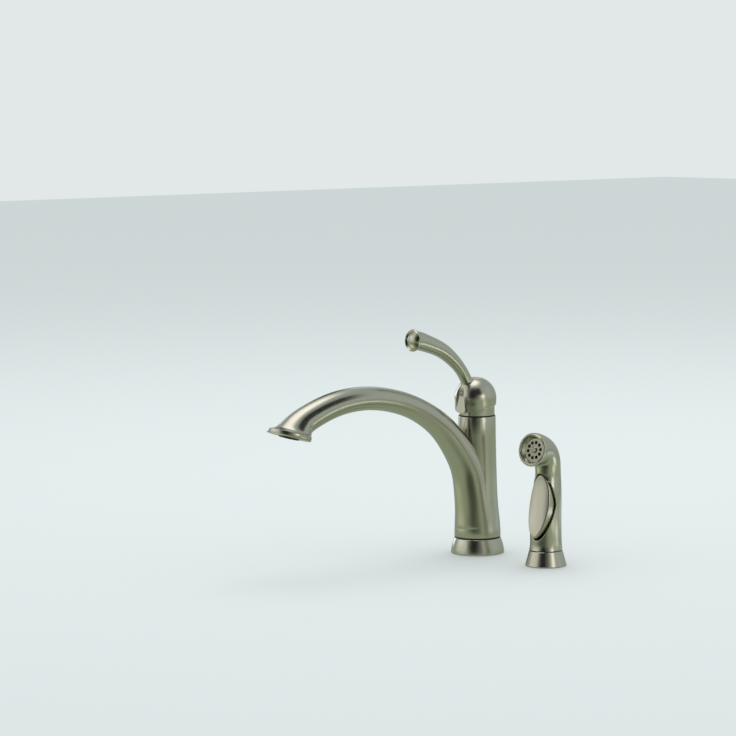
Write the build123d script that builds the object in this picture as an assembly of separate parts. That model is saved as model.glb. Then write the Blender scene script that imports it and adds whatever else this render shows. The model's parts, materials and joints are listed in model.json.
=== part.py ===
from build123d import *
import math
import os

# Deck-mounted kitchen faucet: a swinging gooseneck spout, a joystick lever on top, and a hand
# spray that parks in its own holder beside it.
# Millimetres. +Z is up, z = 0 is the top of the deck, and the origin is the axis of the faucet
# hole on the deck. The spout points along -Y, and the spray stands at +X.

# ---- driving sizes: deck and holes -------------------------------------------------------
deck_thickness = 30.0      # deck that the two threaded shanks clamp
spray_offset = 101.6       # 4 in between the faucet hole and the spray hole
running_fit = 0.08         # radial clearance of a shaft that turns or slides in its bore
free_gap = 0.3             # clearance between pieces that move past each other
seat_fit = 0.02            # radial clearance of pins and inserts that stay put

# ---- driving sizes: faucet column --------------------------------------------------------
base_radius = 26.3         # foot of the bell-shaped base ring
base_top_radius = 22.9
base_height = 15.4
base_lip = 2.5             # thickness of the base ring's inward lip
gasket_thickness = 1.5
glide_thickness = 0.7
column_top = 136.2         # top face of the swinging column
column_top_radius = 18.4
column_waist_radius = 19.4
column_waist_height = 72.0
core_radius = 15.3         # brass core that the column turns on
bearing_length = 36.0      # plain bearing at each end of the column
chamber_radius = 16.2      # water space between core and column
core_neck_radius = 14.0
o_ring_section = 2.1
shank_radius = 16.0
shank_length = 58.0
shank_bore_radius = 12.6
clamp_nut_flats = 46.0
clamp_nut_height = 10.0
clamp_washer_radius = 26.0
washer_thickness = 2.0
inlet_radius = 4.0         # threaded ports in the floor of the shank
inlet_depth = 12.0
inlet_circle_radius = 7.0
passage_radius = 3.0

# ---- driving sizes: spout arm ------------------------------------------------------------
spout_reach = 230.3        # column axis to the middle of the outlet
outlet_height = 134.0      # deck to the middle of the outlet's face
outlet_tilt = 17.0         # degrees that the outlet faces forward of straight down
arch_rise = 30.2           # outlet's face to the arm's centre line at its highest
arm_slim_radius = 11.2     # arm at its slimmest, near the top of the arch
arm_root_radius = 16.3     # arm where it leaves the column
arm_foot_radius = 19.9     # arm at the column's foot, which it grows out of
arm_foot_shift = 2.3       # its centre ahead of the column's axis there
arm_wall = 3.2
arm_root_fillet = 6.0      # blend of the arm into the column
outlet_flange_radius = 21.3
outlet_flange_height = 4.4
outlet_neck_radius = 16.8  # wide end of the flared neck, on the flange
outlet_neck_shift = 4.3    # its middle behind the middle of the flange
outlet_elbow_radius = 13.6 # arm where the neck starts to flare
outlet_elbow_shift = 10.0
outlet_elbow_rise = 7.4    # above the wide end of the neck
outlet_throat_radius = 8.0
spout_port_radius = 5.0
aerator_radius = 11.9
aerator_depth = 5.6
aerator_stand_out = 1.2    # the insert stands proud of the outlet's face
insert_radius = 9.9
insert_height = 3.3
screen_thickness = 1.2

# ---- driving sizes: handle and cartridge -------------------------------------------------
bonnet_gap = 0.8           # dark joint between the column and the bonnet
tilt_axis_rise = 4.5       # bonnet's lower edge to the axis that the lever tips about
bonnet_neck_radius = 17.4
bonnet_ball_radius = 18.15
bonnet_mouth_radius = 11.0
dome_radius = 20.6
dome_rise = 12.5           # tilt axis to the dome's centre
dome_centre_shift = 1.8    # dome ahead of the column's axis
dome_skirt_radius = 20.1
rim_rise = 3.2             # tilt axis to the dome's sloping lower edge
rim_slope = 11.3           # degrees, higher at the back
rim_rounding = 1.2
handle_lift_angle = 22.0
lever_reach = 79.9         # column axis to the end of the lever
lever_rise = 61.4          # dome's centre to the end of the lever
lever_root_radius = 5.7
lever_foot_radius = 9.0    # inside the dome, where it starts
lever_root_fillet = 3.0    # blend of the lever into the dome
lever_end_radius = 9.2
lever_cap_radius = 10.8
lever_cap_thickness = 4.4
cap_lip = 1.0              # rounded edge of the cap's end
cap_groove_width = 1.6
cap_groove_depth = 1.6
cap_crown_rise = 3.4       # crowned middle above the groove
cap_plug_radius = 3.5
cap_plug_length = 9.0
button_radius = 4.2
button_depth = 2.4
spindle_radius = 3.0
spindle_reach = 16.0       # dome's centre to the top of the spindle
spindle_arm = 8.5          # tilt axis to the ball on the spindle's lower end
spindle_ball_radius = 2.2
pivot_pin_radius = 1.4
set_screw_radius = 1.5
cartridge_radius = 12.4
cartridge_wall = 1.7
cartridge_floor = 2.2
seal_thickness = 1.0
core_rise = 4.5            # tilt axis to the top of the brass core
disc_radius = 10.2
disc_thickness = 3.4
disc_film = 0.05           # water film between the two discs
moving_disc_radius = 6.6
moving_disc_thickness = 2.3
ball_clearance = 0.85      # under the spindle's ball
carrier_rise = 7.0         # tilt axis to the top of the stem carrier
carrier_neck_radius = 8.6
carrier_flange = 3.6
cartridge_nut_height = 5.0
spanner_slot_width = 3.0
spanner_slot_depth = 2.0

# ---- driving sizes: spray wand and holder ------------------------------------------------
wand_turn = 10.0           # degrees that the parked wand is turned towards the right
wand_foot_radius = 16.0
wand_grip_radius = 15.0
wand_neck_radius = 12.4
wand_head_radius = 16.2
wand_head_reach = 20.6     # holder axis to the middle of the spray face
wand_head_height = 114.1
face_lift = 12.0           # degrees that the spray face looks above level
face_ring_width = 1.3
spray_hole_count = 10
spray_hole_radius = 1.7
spray_hole_circle_radius = 7.4
spray_hole_start = 9.0     # degrees that the first hole is turned from the face's side
dish_depth = 3.4           # dish of the spray face behind the rim
trigger_half_width = 12.3
trigger_half_height = 30.8
trigger_middle = 57.75
trigger_gap = 0.7
trigger_end_gap = 1.25     # more at the ends, where the trigger swings
trigger_wall = 2.2
trigger_rounding = 1.6
pocket_rounding = 0.7      # mouth of the trigger's pocket
trigger_pin_radius = 1.2
trigger_pin_height = 82.5
holder_height = 14.9
holder_foot_radius = 19.8
holder_top_radius = 16.2
holder_shank_radius = 13.6
holder_shank_length = 50.0
holder_bore_radius = 10.6  # hose way through the shank
nipple_room_radius = 11.2  # wider above it, round the wand's hose nipple
holder_nut_flats = 38.0
holder_nut_height = 9.0
spigot_radius = 11.6
nipple_radius = 6.0
nipple_thread_radius = 4.2
nipple_length = 22.0


# ---- helpers -----------------------------------------------------------------------------
def cylinder(radius, bottom, top, x=0.0, y=0.0):
    upright = Cylinder(radius, top - bottom, align=(Align.CENTER, Align.CENTER, Align.MIN))
    return Pos(x, y, bottom) * upright


def ring(outer, inner, bottom, top, x=0.0, y=0.0):
    return cylinder(outer, bottom, top, x, y) - cylinder(inner, bottom - 1, top + 1, x, y)


def turned(*points):
    """Solid of revolution about Z of a closed outline of (radius, height) corners."""
    return revolve(Plane.XZ * make_face(Polyline(*points, close=True)), Axis.Z)


def turned_edges(edges):
    """Solid of revolution about Z of an outline made of lines and curves."""
    return revolve(Plane.XZ * make_face(edges), Axis.Z)


def crown(radius, rise, height):
    """Arc centred on the axis, from (radius, height) up to (0, height + rise)."""
    sphere_radius = (radius**2 + rise**2) / (2 * rise)
    half_angle = math.degrees(math.asin(radius / sphere_radius))
    return CenterArc((0, height + rise - sphere_radius), sphere_radius, 90 - half_angle, half_angle)


def hex_nut(flats, bore, bottom, top):
    block = extrude(Pos(0, 0, bottom) * RegularPolygon(flats / 2, 6, major_radius=False), top - bottom)
    corner_cut = turned((0, bottom), (flats / 2, bottom), (flats / 2 * 1.16, bottom + 1.6),
                        (flats / 2 * 1.16, top), (0, top))
    return (block & corner_cut) - cylinder(bore, bottom - 1, top + 1)


def along_y(radius, start, end, height, x=0.0):
    """Cylinder lying along Y between two places."""
    rod = Cylinder(radius, abs(end - start))
    return Pos(x, (start + end) / 2, height) * Rot(90, 0, 0) * rod


def along_x(radius, half_length, y, height):
    return Pos(0, y, height) * Rot(0, 90, 0) * Cylinder(radius, 2 * half_length)


def inclined(y, z, lean, radius):
    """Round section at (0, y, z), its axis leaning from +Z towards -Y by lean degrees."""
    lean = math.radians(lean)
    axis = (0, -math.sin(lean), math.cos(lean))
    return Plane(origin=(0, y, z), x_dir=(1, 0, 0), z_dir=axis) * Circle(radius)


# ---- heights that follow from the sizes ----------------------------------------------------
arch_height = outlet_height + arch_rise
bonnet_bottom = column_top + bonnet_gap
tilt_axis_height = bonnet_bottom + tilt_axis_rise
core_top = tilt_axis_height + core_rise
dome_centre_height = tilt_axis_height + dome_rise
rim_height = tilt_axis_height + rim_rise
spindle_top = dome_centre_height + spindle_reach
ball_height = tilt_axis_height - spindle_arm
carriage_bottom = ball_height - spindle_ball_radius - ball_clearance
moving_disc_bottom = carriage_bottom - moving_disc_thickness
fixed_disc_bottom = moving_disc_bottom - disc_film - disc_thickness
housing_floor = fixed_disc_bottom - cartridge_floor
cavity_floor = housing_floor - seal_thickness
carriage_top = ball_height + spindle_ball_radius / 2 + 0.1
carrier_bottom = carriage_top + free_gap + 0.1
carrier_shoulder = carrier_bottom + carrier_flange
housing_top = carrier_shoulder + free_gap
carrier_top = tilt_axis_height + carrier_rise
cartridge_nut_top = housing_top + cartridge_nut_height


# ---- base and core -----------------------------------------------------------------------
core_shoulder = base_height - base_lip
glide_bottom = base_height
hub_bottom = glide_bottom + glide_thickness + free_gap
hub_bore_radius = core_radius + running_fit
chamber_bottom = hub_bottom + bearing_length
chamber_top = column_top - bearing_length
washer_top = -deck_thickness
nut_top = washer_top - gasket_thickness - washer_thickness
cavity_radius = cartridge_radius + seat_fit
ports = {
    "hot": (-inlet_circle_radius * math.cos(math.radians(30)), inlet_circle_radius / 2),
    "cold": (inlet_circle_radius * math.cos(math.radians(30)), inlet_circle_radius / 2),
    "spray": (0.0, -inlet_circle_radius),
}
port_floor = -6.0
diverter_radius = 4.2
diverter_seat_height = 6.0
diverter_piston_length = 8.0
diverter_floor = chamber_bottom + 9.6
diverter_seat_top = diverter_floor + diverter_seat_height
outlet_window_height = chamber_top - 12.2


def base_ring():
    outer = Polyline((base_radius - 0.6, 0), (base_radius, 0.8), (base_radius, 1.6)) + ThreePointArc(
        (base_radius, 1.6),
        ((base_radius + base_top_radius) / 2 + 0.35, base_height * 0.6),
        (base_top_radius, base_height - 0.5),
    )
    inner = Polyline(
        (base_top_radius, base_height - 0.5),
        (base_top_radius - 0.5, base_height),
        (core_radius + free_gap, base_height),
        (core_radius + free_gap, core_shoulder),
        (base_top_radius - 2.4, core_shoulder),
        (base_radius - 3.2, 6.0),
        (base_radius - 3.2, 0),
        (base_radius - 0.6, 0),
    )
    return turned_edges(outer + inner)


def base_gasket():
    return ring(base_radius - 3.5, shank_radius + free_gap, 0, gasket_thickness)


def valve_body():
    flange_radius = base_radius - 3.5
    body = turned(
        (0, -shank_length), (shank_radius - 1, -shank_length), (shank_radius, -shank_length + 1),
        (shank_radius, gasket_thickness), (flange_radius, gasket_thickness),
        (flange_radius, gasket_thickness + 4), (base_top_radius - 3.2, gasket_thickness + 6),
        (base_top_radius - 3.2, core_shoulder), (core_radius, core_shoulder),
        (core_radius, chamber_bottom), (core_neck_radius, chamber_bottom),
        (core_neck_radius, chamber_top), (core_radius, chamber_top),
        (core_radius, bonnet_bottom - free_gap), (core_radius - 0.2, bonnet_bottom),
        (core_radius - 0.2, core_top - 0.6), (core_radius - 0.8, core_top), (0, core_top),
    )
    body -= cylinder(shank_bore_radius, -shank_length - 1, port_floor)
    body -= cylinder(cavity_radius, cavity_floor, core_top + 1)
    for height in o_ring_heights():
        body -= ring(core_radius + 2, core_radius - o_ring_section - seat_fit,
                     height - o_ring_section / 2 - 0.15, height + o_ring_section / 2 + 0.15)
    for x, y in ports.values():
        body -= cylinder(inlet_radius, port_floor - 1, port_floor + inlet_depth, x, y)
    for side in ("hot", "cold"):
        body -= cylinder(passage_radius, port_floor, cavity_floor + 1, *ports[side])
    spray_x, spray_y = ports["spray"]
    body -= cylinder(passage_radius, port_floor, cavity_floor + 1, spray_x, spray_y)
    body -= cylinder(diverter_radius + running_fit, diverter_floor, chamber_top - 8, spray_x, spray_y)
    body -= along_y(passage_radius, spray_y, -core_radius - 2, outlet_window_height)
    return body


def o_ring_heights():
    return chamber_bottom - 8.0, chamber_top + 8.0


def spout_o_rings():
    section = o_ring_section / 2
    return [
        Pos(0, 0, height) * Torus(core_radius - section, section) for height in o_ring_heights()
    ]


def diverter_seat():
    x, y = ports["spray"]
    return ring(diverter_radius + running_fit - seat_fit, diverter_radius - 1.6, diverter_floor,
                diverter_seat_top, x, y)


def diverter_piston():
    x, y = ports["spray"]
    head_bottom = diverter_seat_top + 0.05
    head = cylinder(diverter_radius, head_bottom, head_bottom + diverter_piston_length, x, y)
    cup = cylinder(diverter_radius - 1.2, head_bottom + 3, head_bottom + 9, x, y)
    stem = cylinder(diverter_radius - 1.9, diverter_floor, head_bottom + 1, x, y)
    return head - cup + stem


def glide_ring():
    return ring(base_top_radius - 1.6, core_radius + free_gap, glide_bottom,
                glide_bottom + glide_thickness)


def clamp_gasket():
    return ring(clamp_washer_radius - 1, shank_radius + free_gap, washer_top - gasket_thickness,
                washer_top)


def clamp_washer():
    return ring(clamp_washer_radius, shank_radius + free_gap, nut_top, washer_top - gasket_thickness)


def clamp_nut():
    return hex_nut(clamp_nut_flats, shank_radius + seat_fit, nut_top - clamp_nut_height, nut_top)


# ---- spout -------------------------------------------------------------------------------
outlet_frame = Plane(
    origin=(0, -spout_reach, outlet_height),
    x_dir=(1, 0, 0),
    z_dir=(0, math.sin(math.radians(outlet_tilt)), math.cos(math.radians(outlet_tilt))),
)
neck_top = outlet_flange_height + 3.2


def outlet_point(back, up):
    """Point in the outlet's own frame: back towards the column, and up from its face."""
    return outlet_frame.from_local_coords(Vector(0, back, up))


def arm_spine_points():
    """Centre line of the arm from the column's foot, as shares of the reach and the arch height."""
    shares = [
        (0.030, 0.300), (0.043, 0.410), (0.061, 0.517), (0.107, 0.638), (0.173, 0.748),
        (0.243, 0.830), (0.340, 0.908), (0.436, 0.957), (0.578, 0.995), (0.722, 0.988),
        (0.815, 0.958), (0.905, 0.910),
    ]
    foot = Vector(0, -arm_foot_shift, hub_bottom + 1)
    return [foot] + [Vector(0, -spout_reach * back, arch_height * up) for back, up in shares]


def arm_radii():
    root, slim = arm_root_radius, arm_slim_radius
    shares = [1.20, 1.0, 0.85, 0.62, 0.44, 0.17, 0.02, 0.0, 0.03, 0.14, 0.23, 0.30]
    return [arm_foot_radius] + [slim + (root - slim) * share for share in shares]


def arm_sections(shrink):
    """Round sections across the arm, from its root to the outlet's neck, less shrink."""
    points = arm_spine_points()
    neck = outlet_point(outlet_neck_shift, neck_top)
    elbow = outlet_point(outlet_elbow_shift, neck_top + outlet_elbow_rise)
    spine = Spline(*points, elbow, neck, tangents=[(0, -0.05, 1), -outlet_frame.z_dir])
    radii = arm_radii() + [outlet_elbow_radius, outlet_neck_radius]
    return [
        Plane(origin=point, x_dir=(1, 0, 0), z_dir=spine.tangent_at(point)) * Circle(radius - shrink)
        for point, radius in zip([*points, elbow, neck], radii)
    ]


def outlet_bell():
    """Flange round the outlet, and the flare that joins it to the arm's neck."""
    flange = turned(
        (0, 0), (outlet_flange_radius - 0.7, 0), (outlet_flange_radius, 0.7),
        (outlet_flange_radius, outlet_flange_height - 0.8),
        (outlet_flange_radius - 0.8, outlet_flange_height), (0, outlet_flange_height),
    )
    rise = neck_top - outlet_flange_height + 0.4
    spread = outlet_flange_radius - 0.9 - outlet_neck_radius
    flare = loft([
        Pos(0, outlet_neck_shift * share, neck_top - rise * (1 - up))
        * Circle(outlet_neck_radius + spread * grow)
        for up, share, grow in ((0.0, 0.1, 1.0), (0.5, 0.68, 0.36), (1.0, 1.0, 0.0))
    ])
    return outlet_frame * (flange + flare)


def column():
    side = Spline(
        (base_top_radius, hub_bottom + 0.5),
        (base_top_radius - 0.7, hub_bottom + 15),
        (column_waist_radius + 1.1, hub_bottom + 31),
        (column_waist_radius, column_waist_height),
        (column_top_radius + 0.15, (column_waist_height + column_top) / 2 + 12),
        (column_top_radius, column_top - 0.5),
    )
    rest = Polyline(
        (column_top_radius, column_top - 0.5), (column_top_radius - 0.5, column_top),
        (0, column_top), (0, hub_bottom), (base_top_radius - 0.5, hub_bottom),
        (base_top_radius, hub_bottom + 0.5),
    )
    return turned_edges(side + rest)


def spout_body():
    post = column()
    arm = loft(arm_sections(0)) + outlet_bell()
    body = post + arm
    body = fillet(new_edges(post, arm, combined=body), arm_root_fillet)
    body -= cylinder(hub_bore_radius, hub_bottom - 1, column_top + 1)
    body -= cylinder(chamber_radius, chamber_bottom, chamber_top)
    body -= loft(arm_sections(arm_wall)[4:])
    body -= spout_port()
    body -= outlet_frame * cylinder(aerator_radius + seat_fit, -1, aerator_depth)
    return body - outlet_frame * cylinder(outlet_throat_radius, 0, neck_top + 3, 0, 3)


def spout_port():
    """Sloping way from the column's water space into the arm."""
    start = Vector(0, -chamber_radius + 3, chamber_top - 12)
    end = arm_spine_points()[4]
    way = Plane(origin=start, x_dir=(1, 0, 0), z_dir=end - start)
    return extrude(way * Circle(spout_port_radius), (end - start).length + 4)


def aerator_housing():
    ledge = aerator_depth - washer_thickness
    inner = insert_radius + seat_fit
    shell = turned(
        (inner, -0.3), (aerator_radius - 0.4, -0.3), (aerator_radius, 0.1), (aerator_radius, ledge),
        (inner - 1.2, ledge), (inner - 1.2, insert_height - aerator_stand_out),
        (inner, insert_height - aerator_stand_out),
    )
    return outlet_frame * shell


def aerator_washer():
    return outlet_frame * ring(aerator_radius - 0.2, insert_radius - 1.2,
                               aerator_depth - washer_thickness, aerator_depth)


def aerator_insert():
    """Plastic insert whose rim stands proud, with the stream holes in its recessed floor."""
    top = insert_height - aerator_stand_out
    insert = turned(
        (0, top - screen_thickness), (insert_radius - 1.6, top - screen_thickness),
        (insert_radius - 1.2, -aerator_stand_out), (insert_radius - 0.4, -aerator_stand_out),
        (insert_radius, -aerator_stand_out + 0.4), (insert_radius, top), (0, top),
    )
    holes = Sketch() + [Pos(x, y, -aerator_stand_out) * Circle(1.0) for x, y in stream_hole_places()]
    return outlet_frame * (insert - extrude(holes, insert_height + 1))


def stream_hole_places():
    places = [(0.0, 0.0)]
    for row, count in ((3.1, 6), (6.2, 12)):
        for step in range(count):
            turn = 2 * math.pi * step / count
            places.append((row * math.cos(turn), row * math.sin(turn)))
    return places


# ---- cartridge ---------------------------------------------------------------------------
water_holes = list(ports.values())


def base_seal():
    seal = cylinder(cartridge_radius - 0.2, cavity_floor, housing_floor)
    for x, y in water_holes:
        seal -= cylinder(passage_radius, cavity_floor - 1, housing_floor + 1, x, y)
    return seal


def cartridge_housing():
    inner = cartridge_radius - cartridge_wall
    cup = cylinder(cartridge_radius, housing_floor, housing_top)
    cup -= cylinder(inner, fixed_disc_bottom, housing_top + 1)
    for x, y in water_holes:
        cup -= cylinder(passage_radius, housing_floor - 1, fixed_disc_bottom + 1, x, y)
    return cup


def fixed_disc():
    disc = cylinder(disc_radius, fixed_disc_bottom, fixed_disc_bottom + disc_thickness)
    for x, y in water_holes:
        disc -= cylinder(passage_radius * 0.8, fixed_disc_bottom - 1,
                         fixed_disc_bottom + disc_thickness + 1, x * 0.75, y * 0.75)
    return disc


def moving_disc():
    disc = cylinder(moving_disc_radius, moving_disc_bottom, carriage_bottom)
    return disc - cylinder(moving_disc_radius - 2.4, moving_disc_bottom - 1,
                           moving_disc_bottom + moving_disc_thickness / 2)


def disc_carriage():
    plate = cylinder(moving_disc_radius + 0.4, carriage_bottom, carriage_top)
    return plate - cylinder(spindle_ball_radius + free_gap + 0.05, carriage_bottom - 1, carriage_top + 1)


def stem_carrier():
    carrier = cylinder(disc_radius, carrier_bottom, carrier_shoulder)
    carrier += cylinder(carrier_neck_radius, carrier_shoulder, carrier_top)
    swing = math.radians(handle_lift_angle)
    back = carrier_rise * math.tan(swing) + spindle_radius / math.cos(swing) + 2.5 * free_gap
    slot = Pos(0, -back + 0.4, carrier_bottom - 1) * Box(
        2 * (spindle_radius + free_gap), 2 * back - 0.4, carrier_top - carrier_bottom + 2,
        align=(Align.CENTER, Align.MIN, Align.MIN))
    return carrier - slot - along_x(pivot_pin_radius + seat_fit, carrier_neck_radius + 1, 0,
                                    tilt_axis_height)


def pivot_pin():
    return along_x(pivot_pin_radius, carrier_neck_radius - 0.8, 0, tilt_axis_height)


def spindle():
    rod = cylinder(spindle_radius, tilt_axis_height - 4, spindle_top)
    arm = cylinder(spindle_ball_radius - 0.5, ball_height, tilt_axis_height)
    ball = Pos(0, 0, ball_height) * Sphere(spindle_ball_radius)
    pin_hole = along_x(pivot_pin_radius + running_fit, spindle_radius + 1, 0, tilt_axis_height)
    flat = Pos(0, -spindle_radius - 1.5, screw_height()) * Box(8, 4, 6)
    return rod + arm + ball - pin_hole - flat


def cartridge_nut():
    nut = ring(cartridge_radius, carrier_neck_radius + free_gap, housing_top, cartridge_nut_top)
    for turn in range(4):
        nut -= Rot(0, 0, 45 + 90 * turn) * Pos(cartridge_radius, 0, cartridge_nut_top) * Box(
            2 * spanner_slot_depth, spanner_slot_width, 2 * spanner_slot_depth)
    return nut


def bonnet():
    shoulder = tilt_axis_height + math.sqrt(bonnet_ball_radius**2 - bonnet_neck_radius**2)
    mouth = tilt_axis_height + math.sqrt(bonnet_ball_radius**2 - bonnet_mouth_radius**2)
    half_way = math.radians(45)
    outer = Polyline((bonnet_neck_radius - 0.4, bonnet_bottom), (bonnet_neck_radius, bonnet_bottom + 0.4),
                     (bonnet_neck_radius, shoulder))
    ball = ThreePointArc(
        (bonnet_neck_radius, shoulder),
        (bonnet_ball_radius * math.cos(half_way), tilt_axis_height + bonnet_ball_radius * math.sin(half_way)),
        (bonnet_mouth_radius, mouth),
    )
    inner = Polyline(
        (bonnet_mouth_radius, mouth), (bonnet_mouth_radius - 0.3, mouth - 1.5),
        (cartridge_radius + 0.8, core_top + 3.5), (cartridge_radius + 0.8, core_top),
        (core_radius - 0.15, core_top), (core_radius - 0.15, bonnet_bottom),
        (bonnet_neck_radius - 0.4, bonnet_bottom),
    )
    return turned_edges(outer + ball + inner)


# ---- handle ------------------------------------------------------------------------------
def screw_height():
    return tilt_axis_height + bonnet_ball_radius + free_gap + set_screw_radius + 0.4


def facet_plane():
    """Front face of the dome, leaning back a little, with +Z of the plane facing forward."""
    lean = math.radians(6.4)
    return Plane(
        origin=(0, -dome_centre_shift - dome_radius + 2.75, dome_centre_height + 1.0),
        x_dir=(1, 0, 0),
        z_dir=(0, -math.cos(lean), math.sin(lean)),
    )


def facet_cut():
    """Shield-shaped recess that widens towards the rim."""
    outline = Polyline((-8.2, -16), (8.2, -16)) + Spline(
        (8.2, -16), (6.2, -4), (5.1, 5), (3.2, 9.6), (0, 11.2), (-3.2, 9.6), (-5.1, 5), (-6.2, -4),
        (-8.2, -16))
    return extrude(facet_plane() * make_face(outline), 12)


def dome():
    skirt_bottom = rim_height - 6
    ball = Pos(0, 0, dome_centre_height) * Sphere(dome_radius)
    skirt = turned((0, skirt_bottom), (dome_skirt_radius, skirt_bottom),
                   (dome_skirt_radius + 0.1, rim_height), (dome_radius - 0.15, dome_centre_height - 3),
                   (dome_radius, dome_centre_height), (0, dome_centre_height))
    upper = ball & cylinder(dome_radius + 1, dome_centre_height, dome_centre_height + 2 * dome_radius)
    return Pos(0, -dome_centre_shift, 0) * (skirt + upper)


def under_rim():
    """Everything below the dome's sloping lower edge."""
    slab = Box(80, 80, 40, align=(Align.CENTER, Align.CENTER, Align.MAX))
    return Pos(0, 0, rim_height) * Rot(rim_slope, 0, 0) * slab


def lever_stations():
    """Centre line and radius of the lever, from inside the dome to its flared end."""
    rise = lever_rise
    shares = [
        (0.188, 0.338, 0.06), (0.274, 0.499, 0.10), (0.409, 0.670, 0.32),
        (0.566, 0.811, 0.54), (0.738, 0.908, 0.72), (0.871, 0.969, 0.91), (0.975, 0.995, 1.00),
    ]
    grow = lever_end_radius - lever_root_radius
    foot = (-lever_reach * 0.055, dome_centre_height + rise * 0.150, lever_foot_radius)
    return [foot] + [
        (-lever_reach * out, dome_centre_height + rise * up, lever_root_radius + grow * share)
        for out, up, share in shares
    ]


def lever_spine():
    return Spline(*[(0, y, z) for y, z, _ in lever_stations()])


def lever():
    spine = lever_spine()
    return loft([
        Plane(origin=(0, y, z), x_dir=(1, 0, 0), z_dir=spine.tangent_at(Vector(0, y, z))) * Circle(radius)
        for y, z, radius in lever_stations()
    ])


def lever_end_frame():
    spine = lever_spine()
    return Plane(origin=spine @ 1, x_dir=(1, 0, 0), z_dir=spine % 1)


def rim_edges(body):
    level = Plane(Pos(0, 0, rim_height) * Rot(rim_slope, 0, 0))
    return [edge for edge in body.edges()
            if abs(level.to_local_coords(edge.center()).Z) < 0.01 and edge.length > dome_radius]


def handle():
    hollow_radius = bonnet_ball_radius + free_gap
    shell, arm = dome() - facet_cut(), lever()
    body = shell + arm
    body = fillet(new_edges(shell, arm, combined=body), lever_root_fillet) - under_rim()
    body = fillet(rim_edges(body), rim_rounding)
    body -= Pos(0, 0, tilt_axis_height) * Sphere(hollow_radius)
    body -= cylinder(hollow_radius, rim_height - 12, tilt_axis_height)
    body -= cylinder(spindle_radius + seat_fit, tilt_axis_height, spindle_top + 0.1)
    body -= along_y(set_screw_radius + seat_fit, 0, -dome_radius - 4, screw_height())
    body -= button_frame() * cylinder(button_radius + 0.1, -button_depth, 20)
    return body - lever_end_frame() * cylinder(cap_plug_radius + seat_fit, -cap_plug_length - 0.1, 1)


def button_frame():
    """Middle of the button on the facet, with +Z out of the dome."""
    return facet_plane() * Pos(0, 5.3, 0)


def lever_cap():
    lip, thick = lever_cap_radius, lever_cap_thickness
    cove, floor = lip - cap_lip - cap_groove_width, thick - cap_groove_depth
    outline = Polyline((0, -cap_plug_length), (cap_plug_radius, -cap_plug_length), (cap_plug_radius, 0),
                       (lever_end_radius, 0))
    outline += ThreePointArc((lever_end_radius, 0), (lip, thick * 0.55), (lip - cap_lip, thick))
    outline += Line((lip - cap_lip, thick), (cove, floor))
    outline += crown(cove, cap_crown_rise, floor)
    outline += Line((0, floor + cap_crown_rise), (0, -cap_plug_length))
    return lever_end_frame() * turned_edges(outline)


def temperature_button():
    outline = Polyline((0, -button_depth), (button_radius, -button_depth), (button_radius, 0.3))
    outline += crown(button_radius, 0.6, 0.3)
    outline += Line((0, 0.9), (0, -button_depth))
    return button_frame() * turned_edges(outline)


def set_screw():
    start = -spindle_radius + 0.5
    screw = along_y(set_screw_radius, start, start - 8, screw_height())
    key = extrude(Plane(origin=(0, start - 8, screw_height()), z_dir=(0, 1, 0)) * RegularPolygon(1.15, 6), 3)
    return screw - key


# ---- spray wand, modelled upright at the origin and facing -Y ------------------------------
wand_bottom = holder_height + 0.9
spigot_bottom = 5.0
nipple_top = spigot_bottom + 7.0
trigger_pin_reach = 5.0
trigger_back = 3.0         # trigger's back edge ahead of the wand's axis
trigger_flank = 2.6        # straight flank before its sides draw in
trigger_draft = 6.0        # degrees
trigger_rim = 2.6          # flange of the trigger at its sides
pin_land = 7.0             # solid stretch of the trigger above and below its pin
pocket_floor = 2.0         # behind the wand's axis
waterway_back = 7.5        # water way behind the wand's axis
waterway_radius = 3.2
head_way_drop = 11.1       # head's centre to the water way that feeds it
head_way_height = wand_head_height - head_way_drop
head_hollow_depth = 14.0
face_depth = 6.0           # seat of the spray face behind the rim
face_screw_radius = 2.0
valve_radius = 5.0
valve_stem_radius = 1.6
valve_height = 62.0
valve_face = 2.5           # valve's front ahead of the wand's axis
head_direction = 90.0 - face_lift
head_frame = Plane(
    origin=(0, -wand_head_reach, wand_head_height),
    x_dir=(1, 0, 0),
    z_dir=(0, -math.cos(math.radians(face_lift)), math.sin(math.radians(face_lift))),
)


def parked(solid):
    """Moves a piece of the wand or its holder to its place on the deck."""
    return Pos(spray_offset, 0, 0) * Rot(0, 0, wand_turn) * solid


def wand_skin():
    rise = wand_head_height - wand_bottom
    foot, grip, neck, head = wand_foot_radius, wand_grip_radius, wand_neck_radius, wand_head_radius
    reach = wand_head_reach
    stations = [
        (0.0, 0.0, 0, foot), (0.0, 0.13, 0, grip + 0.15), (0.0, 0.27, 0, grip),
        (0.9, 0.43, -2, grip - 0.4), (2.4, 0.595, -4, (grip + neck) / 2), (3.7, 0.725, -1, neck),
        (3.2, 0.83, 10, neck), (0.6, 0.915, 34, neck + 0.5), (-reach * 0.24, 0.967, 57, neck + 1.4),
        (-reach * 0.59, 0.991, 74, head - 1.0), (-reach, 1.0, head_direction, head),
    ]
    return loft([
        inclined(back, wand_bottom + rise * up, lean, radius) for back, up, lean, radius in stations
    ])


def pocket_outline(margin, end_margin):
    return Ellipse(trigger_half_width + margin, trigger_half_height + end_margin)


def front_plane(forward):
    """Plane facing forward, centred on the trigger, at a distance ahead of the wand's axis."""
    return Plane(origin=(0, -forward, trigger_middle), x_dir=(1, 0, 0), z_dir=(0, -1, 0))


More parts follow.
